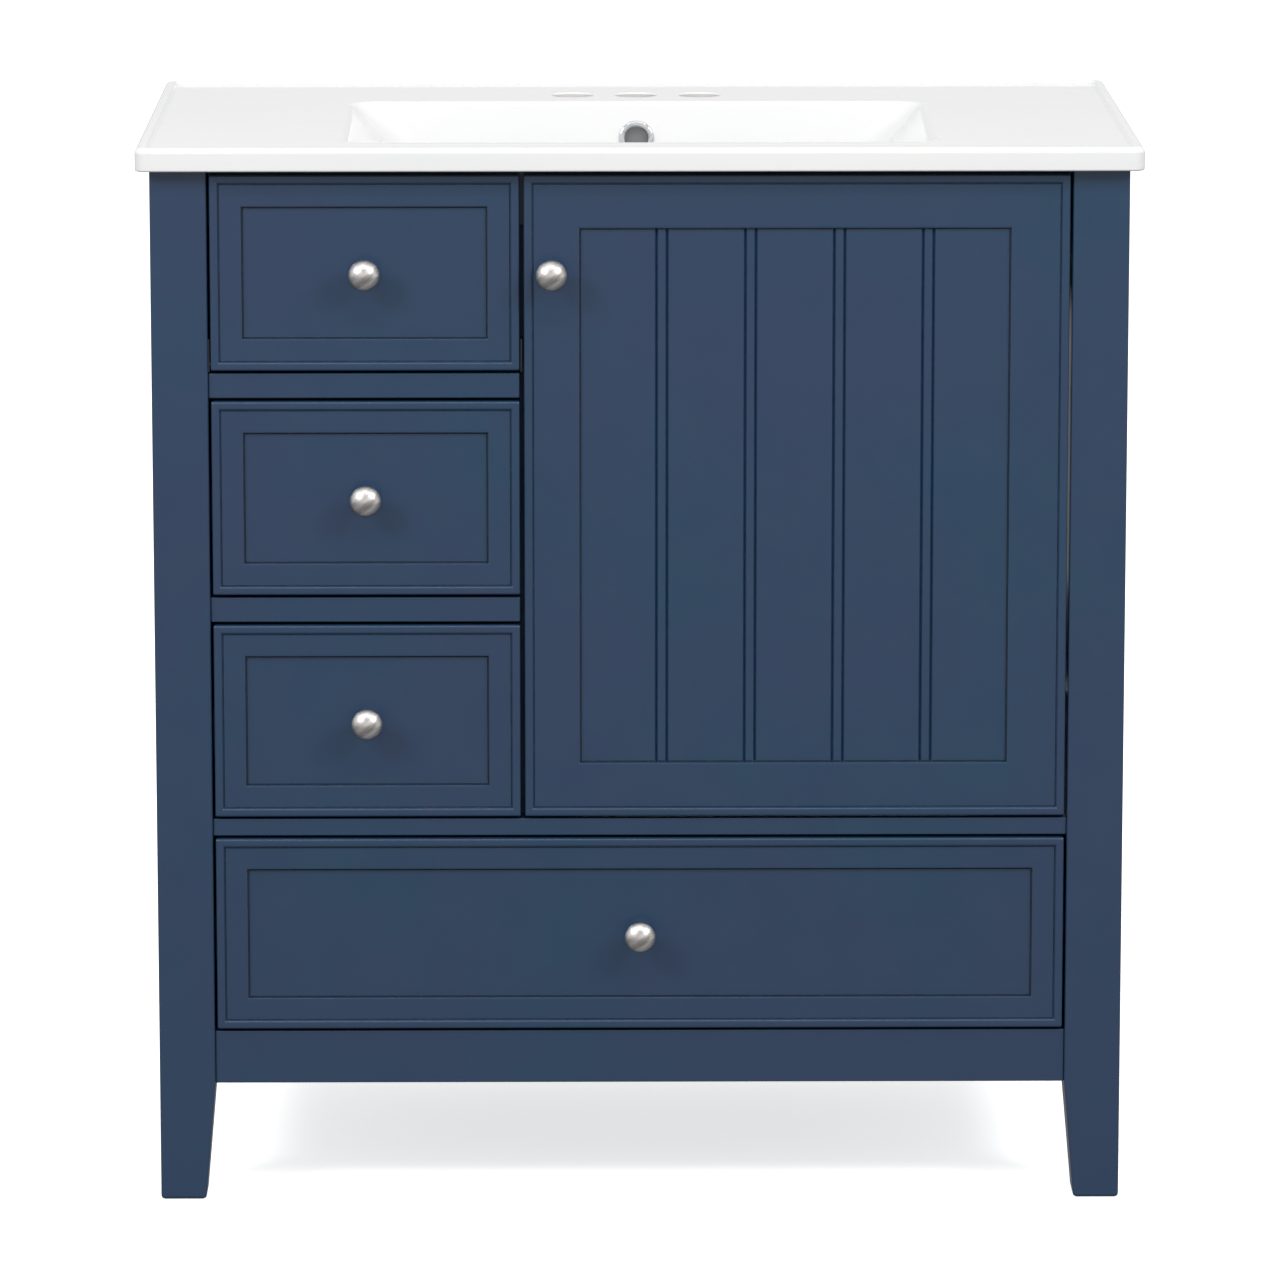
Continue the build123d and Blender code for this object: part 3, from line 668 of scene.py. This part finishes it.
def framed_rings(low, high, profile):
    """Rings round a front: each pair of a profile insets the outline and sets its depth."""
    rings = []
    for inset, depth in profile:
        corner = max(least_corner, front_corner - 0.15 * inset)
        outline = rounded_rectangle(
            (low.x + inset, low.z + inset), (high.x - inset, high.z - inset), corner, 3
        )
        rings.append([(point.x, low.y + max(depth, 0.0), point.y) for point in outline])
    return rings


def shape_drawer_front(node):
    """A drawer front with its bead, flat frame and recessed panel."""
    low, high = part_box(node)
    floor = bead_height + panel_drop
    recess = [
        (drawer_frame - frame_margin, bead_height),
        *quarter((drawer_frame - recess_edge, bead_height + recess_edge), recess_edge, 270, 360, 3),
        (drawer_frame, floor + line_depth),
        *[(drawer_frame + across, floor + down) for across, down in shadow_line[1:]],
        (drawer_frame + 4 * line_width, floor),
    ]
    stand_for(to_object(f"{node}_shaped", skin(framed_rings(low, high, moulding() + recess))), node)


def shape_door_frame():
    """The door's frame: the same bead, an opening with a groove for the panel, and two hinge bores."""
    low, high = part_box("door_frame")
    panel_low, panel_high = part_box("door_panel")
    opening_low = panel_low + Vector((panel_tongue, 0, panel_tongue))
    opening_high = panel_high - Vector((panel_tongue, 0, panel_tongue))
    rings = framed_rings(low, high, moulding())
    for grow, y in (
        (frame_margin, low.y + bead_height),
        (recess_edge, low.y + bead_height),
        (0.3 * recess_edge, low.y + bead_height + 0.3 * recess_edge),
        (0, low.y + bead_height + recess_edge),
        (0, panel_low.y),
        (panel_tongue, panel_low.y),
        (panel_tongue, panel_high.y),
        (0, panel_high.y),
        (0, high.y - front_edge),
        (front_edge, high.y),
    ):
        outline = rounded_rectangle(
            (opening_low.x - grow, opening_low.z - grow),
            (opening_high.x + grow, opening_high.z + grow),
            least_corner,
            3,
        )
        rings.append([(point.x, y, point.y) for point in outline])
    door = to_object("door_frame_shaped", skin(rings, closed=True))
    cups_low, cups_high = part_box("hinge_cups")
    cup_x = (cups_low.x + cups_high.x) / 2
    for cup_z in (cups_low.z + cup_flange_half, cups_high.z - cup_flange_half):
        bore = to_object("bore", skin(lathe([(cup_radius, 0), (cup_radius, 2 * cup_depth)])))
        bore.location = (cup_x, high.y + cup_depth, cup_z)
        combine(door, bore, "DIFFERENCE")
    stand_for(door, "door_frame")


def shape_door_panel():
    """The planked panel: between two planks a round bead stands between two V grooves."""
    low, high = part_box("door_panel")
    middle_x = (low.x + high.x) / 2
    left, right = low.x + panel_tongue, high.x - panel_tongue
    face = [(low.x, low.y), (left, low.y)]
    face += [(left + across, low.y + down) for across, down in shadow_line]
    for index in range(plank_beads):
        bead_x = middle_x + (index - (plank_beads - 1) / 2) * plank_pitch
        half = [
            (bead_half + groove_half + groove_ease, 0),
            (bead_half + groove_half, 0.5 * groove_ease),
            (bead_half, groove_depth),
            (bead_half - groove_half, bead_fall),
            (0.35 * bead_half, 0.12 * bead_fall),
        ]
        face += [(bead_x - across, low.y + down) for across, down in half]
        face += [(bead_x + across, low.y + down) for across, down in reversed(half)]
    face += [(right - across, low.y + down) for across, down in reversed(shadow_line)]
    face += [(right, low.y), (high.x, low.y)]
    levels = [(0, 0), (panel_tongue, 0)]
    levels += [(panel_tongue + across, down) for across, down in shadow_line]
    ends = [(low.z + across, down) for across, down in levels]
    ends += [(high.z - across, down) for across, down in reversed(levels)]
    rings = [
        [(x, max(y, low.y + down), z) for x, y in face] + [(high.x, high.y, z), (low.x, high.y, z)]
        for z, down in ends
    ]
    stand_for(to_object("door_panel_shaped", skin(rings)), "door_panel", angle=30.0)


for front in ("flap_front", "middle_drawer_front", "lower_drawer_front", "wide_drawer_front"):
    shape_drawer_front(front)
shape_door_frame()
shape_door_panel()

# ======== knobs ========


def shape_knob(node):
    """A turned mushroom knob: a round base, a waisted neck, a thin rolled rim and a domed cap."""
    low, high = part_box(node)
    profile = [
        (2 * tip, 0),
        (knob_base_radius - knob_base_edge, 0),
        (knob_base_radius, knob_base_edge),
        (knob_base_radius, knob_base_height),
    ]
    for step in range(1, neck_steps):
        share = step / neck_steps
        below = (knob_base_radius - neck_radius) * (1 - share) ** 2.5
        radius = neck_radius + below + neck_flare * share**3
        profile.append((radius, knob_base_height + neck_length * share))
    profile += [(knob_radius - inset * MM, forward * MM) for inset, forward in cap_rim]
    dome_middle = knob_length - dome_radius
    dome_edge = math.asin(dome_reach / dome_radius)
    for step in range(dome_steps):
        angle = dome_edge * (1 - step / dome_steps)
        profile.append((dome_radius * math.sin(angle), dome_middle + dome_radius * math.cos(angle)))
    profile.append((tip, knob_length))
    knob = to_object(f"{node}_turned", skin(lathe(profile)))
    knob.location = ((low.x + high.x) / 2, high.y, (low.z + high.z) / 2)
    stand_for(knob, node, angle=50.0)


for front in ("flap", "middle_drawer", "lower_drawer", "wide_drawer", "door"):
    shape_knob(f"{front}_knob")

# ======== ceramic top ========

top_low, top_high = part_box("ceramic_top")
top_middle_y = (top_low.y + top_high.y) / 2
slab_low_z = top_high.z - slab_thickness
deck_z = top_high.z - deck_drop
basin_middle = top_low.y + basin_front_gap + basin_half_depth
basin_floor_z = deck_z - basin_drop
underside_z = basin_floor_z - basin_floor_thickness
collar_low_z = underside_z - collar_length
faucet_spots = [Vector((index * faucet_spacing, top_low.y + faucet_back)) for index in (-1, 0, 1)]
ring_steps = {"corner_steps": 10, "side_steps": (30, 16)}


def slab_ring(inset, z):
    """A ring round the slab, in from its edge."""
    half_width = (top_high.x - top_low.x) / 2 - inset
    half_depth = (top_high.y - top_low.y) / 2 - inset
    outline = rounded_rectangle(
        (-half_width, top_middle_y - half_depth),
        (half_width, top_middle_y + half_depth),
        max(slab_corner - inset, slab_inner_corner),
        **ring_steps,
    )
    return [Vector((point.x, point.y, z)) for point in outline]


def basin_ring(half_width, half_depth, corner, z):
    """A ring round the basin."""
    outline = rounded_rectangle(
        (-half_width, basin_middle - half_depth),
        (half_width, basin_middle + half_depth),
        corner,
        **ring_steps,
    )
    return [Vector((point.x, point.y, z)) for point in outline]


def drain_ring(radius, z):
    """A circle round the drain, its points in line with those round the basin's floor."""
    middle = Vector((0, basin_middle, 0))
    floor = basin_ring(basin_floor_half_width, basin_half_depth - wall_lean, fan_corner, 0)
    around = [(point - middle).normalized() * radius + middle for point in floor]
    return [Vector((point.x, point.y, z)) for point in around]


def between(near, far, share, z):
    """A ring part of the way from one to another, at a height."""
    return [Vector((*a.lerp(b, share).xy, z)) for a, b in zip(near, far)]


def toward(here, there, reach):
    """A step of some length from one station towards another, all four numbers counted."""
    step = there - here
    return step * (reach / math.hypot(*step))


def rounded_run(stations):
    """Stations (half width, half depth, corner, height, rounding) run together with rounded bends.

    The rounding is the length, along the two runs beside a station, that the bend takes up.
    """
    vectors = [(Vector(station[:4]), station[4]) for station in stations]
    run = [vectors[0][0]]
    for (before, _), (here, rounding), (after, _) in zip(vectors, vectors[1:], vectors[2:]):
        start = here + toward(here, before, rounding)
        end = here + toward(here, after, rounding)
        for step in range(bend_steps + 1):
            share = step / bend_steps
            run.append(start.lerp(here, share).lerp(here.lerp(end, share), share))
    run.append(vectors[-1][0])
    return run


def basin_stations(grow, deck_height, low_z, lip, heel):
    """The basin's wall from the deck to its floor, grown outwards all round."""
    mouth = (basin_half_width + grow, basin_half_depth + grow)
    floor = (basin_floor_half_width + grow, basin_half_depth - wall_lean + grow)
    shoulder_depth = basin_half_depth - wall_lean * shoulder_drop / basin_drop + grow
    shoulder = (shoulder_half_width + grow, shoulder_depth)
    spread_out = lip_spread * lip
    return [
        (mouth[0] + spread_out, mouth[1] + spread_out, deck_corner, deck_height, 0),
        (*mouth, mouth_corner, deck_height, lip),
        (*shoulder, shoulder_corner, deck_z - shoulder_drop, shoulder_rounding),
        (*floor, floor_corner, low_z, heel),
        (floor[0] - floor_run, floor[1] - floor_run, floor_inner_corner, low_z - floor_fall, 0),
    ]


def rings_over_the_top():
    """From the slab's lower edge up, over the rim, across the deck and down the basin to the drain."""
    rounding = slab_underside_rounding
    rings = [
        slab_ring(inset, slab_low_z + height)
        for inset, height in quarter((rounding, rounding), rounding, 270, 180, 3)
    ]
    rings += [
        slab_ring(inset, top_high.z - slab_rounding + height)
        for inset, height in quarter((slab_rounding, 0), slab_rounding, 180, 90, 7)
    ]
    for share in (0, 0.17, 0.33, 0.5, 0.67, 0.83, 1):
        fall = deck_drop * (3 * share**2 - 2 * share**3)
        rings.append(slab_ring(rim_width - rim_slope * (1 - share), top_high.z - fall))
    rings.append(slab_ring(rim_width + deck_margin, deck_z))
    wall = rounded_run(basin_stations(0, deck_z, basin_floor_z, inner_lip, inner_heel))
    rings += [basin_ring(*station) for station in wall]
    edge = rings[-1]
    mouth = drain_ring(drain_radius + drain_rounding, 0)
    for share in (0.2, 0.4, 0.6, 0.8):
        rings.append(between(edge, mouth, share, edge[0].z - (dish_depth - floor_fall) * share))
    drain_edge_z = basin_floor_z - dish_depth
    rings += [
        drain_ring(drain_radius + across, drain_edge_z - down)
        for across, down in quarter((drain_rounding, drain_rounding), drain_rounding, 270, 180, 6)
    ]
    return rings


def rings_underneath():
    """From the foot of the drain's collar out under the basin and back up to the slab's underside."""
    outer = drain_radius + drain_collar
    rings = [
        drain_ring(drain_radius, collar_low_z + collar_chamfer),
        drain_ring(drain_radius + collar_chamfer, collar_low_z),
        drain_ring(outer - collar_chamfer, collar_low_z),
        drain_ring(outer, collar_low_z + collar_chamfer),
        drain_ring(outer, underside_z - collar_foot),
        drain_ring(outer + collar_foot, underside_z),
    ]
    wall = rounded_run(basin_stations(glaze_wall, slab_low_z, underside_z, outer_lip, outer_heel))
    outline = [basin_ring(*station) for station in reversed(wall)]
    near = rings[-1]
    rings += [between(near, outline[0], share, underside_z) for share in (0.25, 0.5, 0.75)]
    return rings + outline


def box_object(low, high, radius):
    """A closed helper box with rounded upright edges."""
    outline = rounded_rectangle(low[:2], high[:2], radius, 4)
    return to_object("helper", skin([[(p.x, p.y, z) for p in outline] for z in (low[2], high[2])]))


def overflow_place():
    """Where the overflow opens on the basin's leaning back wall, with -Y out into the basin."""
    share = overflow_drop / basin_drop
    wall_y = basin_middle + basin_half_depth - wall_lean * share
    lean = math.atan(wall_lean / basin_drop)
    return Matrix.Translation((0, wall_y, deck_z - overflow_drop)) @ Matrix.Rotation(-lean, 4, "X")


def add_overflow_duct(top):
    """A housing behind and under the basin, the duct in it down to the drain, and the overflow's hole."""
    basin_back = basin_middle + basin_half_depth
    duct_back = basin_back + duct_setback
    duct_low = underside_z - duct_drop
    housing_half = duct_half_width + duct_wall
    housing_back = duct_back + duct_wall
    housing_front = basin_middle + 2 * drain_radius
    wall_foot = basin_back - wall_lean + housing_bite
    housing = [
        (basin_back + housing_setback, slab_low_z + slab_bite),
        (wall_foot, basin_floor_z),
        (wall_foot, underside_z + housing_bite),
        (housing_front, underside_z + housing_bite),
        (housing_front, duct_low - duct_wall),
        (housing_back, duct_low - duct_wall),
        (housing_back, slab_low_z + slab_bite),
    ]
    sides = [[(x, y, z) for y, z in housing] for x in (-housing_half, housing_half)]
    combine(top, to_object("helper", skin(sides)), "UNION")
    shaft = (
        (-duct_half_width, duct_back - duct_depth, duct_low),
        (duct_half_width, duct_back, deck_z - overflow_drop + overflow_radius),
    )
    channel = (
        (-duct_half_width, basin_middle + drain_radius - duct_mouth, duct_low),
        (duct_half_width, duct_back, duct_low + duct_depth),
    )
    for low, high in (shaft, channel):
        combine(top, box_object(low, high, duct_corner), "DIFFERENCE")
    bore = [(overflow_radius, -overflow_back), (overflow_radius, overflow_front)]
    hole = to_object("helper", skin(lathe(bore, cutter_steps)))
    hole.matrix_world = overflow_place()
    combine(top, hole, "DIFFERENCE")


def drill_faucet_holes(top):
    """Three holes with a flared edge in the deck behind the basin."""
    profile = [(faucet_radius, cutter_depth)]
    profile += [
        (faucet_radius + across, down)
        for across, down in quarter((faucet_flare, faucet_flare), faucet_flare, 180, 270, 6)
    ]
    profile.append((faucet_radius + faucet_flare + cutter_spread, -cutter_lift))
    for spot in faucet_spots:
        cutter = to_object("helper", skin(lathe(profile, cutter_steps)))
        upright = Matrix.Rotation(math.radians(90), 4, "X")
        cutter.matrix_world = Matrix.Translation((*spot, deck_z)) @ upright
        combine(top, cutter, "DIFFERENCE")


def lay_clay_and_bore_shade(top):
    """Bare clay on what faces down underneath, and the darker clay on the walls of the faucet holes as
    painted shade inside them.
    """
    top.data.materials.append(clay_and_bore_shade)
    clay_and_bore_shade_slot = len(top.data.materials) - 1
    flare_foot = deck_z - 0.9 * faucet_flare
    bore_reach = faucet_radius + bore_margin
    for face in top.data.polygons:
        middle = face.center
        underneath = face.normal.z < -0.5 and middle.z < slab_low_z + clay_margin
        # a faucet hole's wall gets the darker clay: painted shade inside the hole
        in_shaded_bore = middle.z < flare_foot and any(
            (middle.xy - spot).length < bore_reach for spot in faucet_spots
        )
        if underneath or in_shaded_bore:
            face.material_index = clay_and_bore_shade_slot


def shape_ceramic_top():
    """The glazed slab and basin in one piece, with its overflow duct, drain and faucet holes."""
    top = to_object("ceramic_top_shaped", skin(rings_over_the_top() + rings_underneath(), closed=True))
    add_overflow_duct(top)
    drill_faucet_holes(top)
    stand_for(top, "ceramic_top", angle=40.0)
    lay_clay_and_bore_shade(top)


def shape_overflow_ring():
    """The chrome trim: a rounded flange on the wall and a sleeve that goes back into the hole."""
    sleeve_radius = overflow_radius - sleeve_gap
    profile = [
        (sleeve_radius, -sleeve_length),
        (sleeve_radius, 0),
        (trim_radius, 0),
        *quarter((trim_radius - trim_rounding, trim_edge), trim_rounding, 0, 90, 5),
        *quarter((trim_bore + trim_rounding, trim_edge), trim_rounding, 90, 180, 5),
        (trim_bore, -sleeve_length),
    ]
    ring = to_object("overflow_ring_turned", skin(lathe(profile), closed=True))
    ring.matrix_world = overflow_place()
    stand_for(ring, "overflow_ring", angle=50.0)


shape_ceramic_top()
shape_overflow_ring()

# ======== the CAD nodes that stay ========


def ease_edges(node):
    """Round a carried-over board's edges a little."""
    node.modifiers.new("weld", "WELD").merge_threshold = weld_distance
    rounding = node.modifiers.new("rounding", "BEVEL")
    rounding.width = board_ease
    rounding.segments = 2
    rounding.limit_method = "ANGLE"
    rounding.angle_limit = math.radians(40)
    rounding.harden_normals = True


for label, node in frame["nodes"].items():
    if node.hide_render:
        continue
    node.data.materials.clear()
    if slot_of[label] == "pale_plywood":
        kind = label.split("_")[-1]
        node.data.materials.append(plywood_of.get(kind, materials["pale_plywood"]))
    else:
        node.data.materials.append(materials[slot_of[label]])
    if slot_of[label] in ("pale_plywood", "inside_board"):
        ease_edges(node)

# ======== floor, light and camera ========


def make_floor():
    """A wide pale floor, seamless out to the horizon."""
    made = bmesh.new()
    bmesh.ops.create_circle(made, cap_ends=True, segments=96, radius=floor_radius)
    floor = to_object("floor", made)
    pale, tree, shader = new_material("pale_floor")
    tone = mix_colours(tree, noise(tree, 0.8, detail=2.0), (0.92, 0.92, 0.92), (0.95, 0.95, 0.95))
    tree.links.new(tone, shader.inputs["Base Color"])
    shader.inputs["Roughness"].default_value = 0.9
    shader.inputs["Specular IOR Level"].default_value = 0.1
    shader.inputs["Emission Color"].default_value = (1, 1, 1, 1)
    shader.inputs["Emission Strength"].default_value = floor_glow
    floor.data.materials.append(pale)
    floor.visible_diffuse = False
    floor.visible_glossy = False


def make_light(name, at, width, depth, power):
    """A softbox that points at the cabinet."""
    light = bpy.data.lights.new(name, "AREA")
    light.shape = "RECTANGLE"
    light.size = width
    light.size_y = depth
    light.energy = power
    softbox = bpy.data.objects.new(name, light)
    softbox.location = at
    softbox.rotation_euler = (Vector(light_aim) - Vector(at)).to_track_quat("-Z", "Y").to_euler()
    scene.collection.objects.link(softbox)


def make_camera():
    """The camera at the picture's viewing angle."""
    camera = bpy.data.objects.new("camera", bpy.data.cameras.new("camera"))
    camera.data.lens = camera_lens
    camera.location = camera_place
    camera.rotation_euler = (math.radians(90 - camera_down), 0, math.radians(-camera_turn))
    scene.collection.objects.link(camera)
    scene.camera = camera


def make_studio(below, above, front, behind):
    """Soft light all round: dim from below, and stronger from in front than from behind."""
    world = bpy.data.worlds.new("studio")
    world.use_nodes = True
    tree = world.node_tree
    tree.nodes["Background"].inputs["Color"].default_value = (1, 1, 1, 1)
    coordinates = add_node(tree, "ShaderNodeTexCoord").outputs["Generated"]
    direction = add_node(tree, "ShaderNodeSeparateXYZ", Vector=coordinates)
    lower = spread(tree, direction.outputs["Z"], *horizon, below, 1.0)
    upper = spread(tree, direction.outputs["Z"], horizon[1], zenith, 0.0, above - 1.0)
    side = spread(tree, direction.outputs["Y"], -frontal, frontal, front, behind)
    strength = maths(tree, "MULTIPLY", maths(tree, "ADD", lower, upper), side)
    tree.links.new(strength, tree.nodes["Background"].inputs["Strength"])
    scene.world = world


make_floor()
make_light("softbox_left", at=(-2.4, -2.3, 2.5), width=0.9, depth=0.9, power=58)
make_light("softbox_right", at=(2.4, -2.3, 2.5), width=0.9, depth=0.9, power=58)
make_light("strip_above", at=(0, -1.9, 3.2), width=3.0, depth=0.35, power=30)
make_studio(below=0.36, above=0.86, front=1.01, behind=0.84)
make_camera()

scene.view_settings.view_transform = "Standard"
